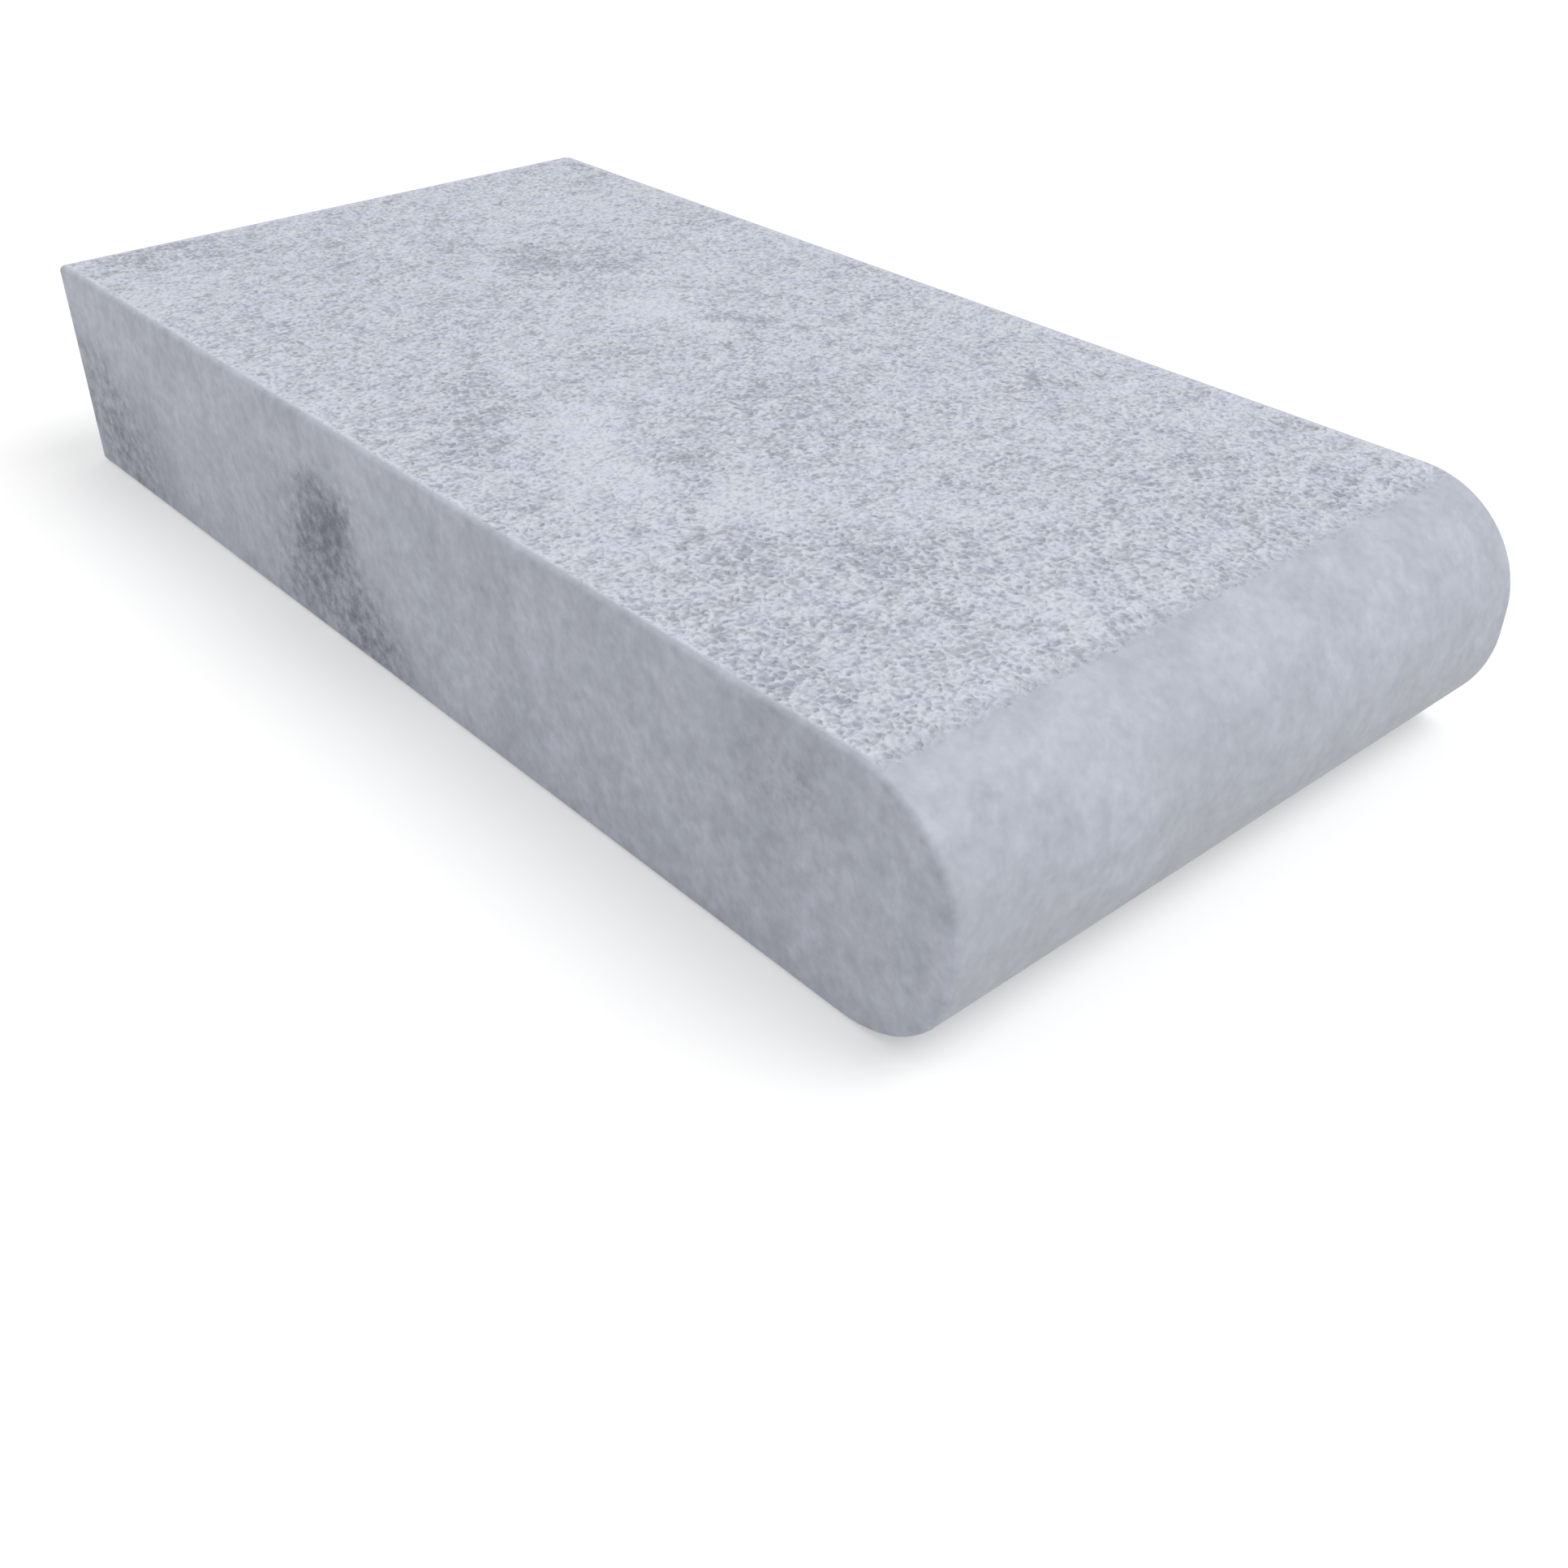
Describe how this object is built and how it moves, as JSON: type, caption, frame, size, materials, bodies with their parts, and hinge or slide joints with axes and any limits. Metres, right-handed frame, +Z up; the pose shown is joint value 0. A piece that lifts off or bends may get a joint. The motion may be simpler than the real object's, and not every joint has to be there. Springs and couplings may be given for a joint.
{
  "type": "pool coping stone",
  "caption": "Solid stone slab with a full bullnose along its short front edge, a blasted top and sawn sides, for edging a swimming pool.",
  "frame": {"origin": "middle of the bed face, at the centre of the stone's outline seen from above", "axes": "+Z up from the bed face to the top face, +Y from the nose over the pool to the back face, +X along the nose"},
  "size_m": [0.1524, 0.3048, 0.0508],
  "materials": {
    "stone": "blasted top, honed nose and sides"
  },
  "bodies": {
    "root": {"coping_stone": "stone"}
  },
  "joints": []
}
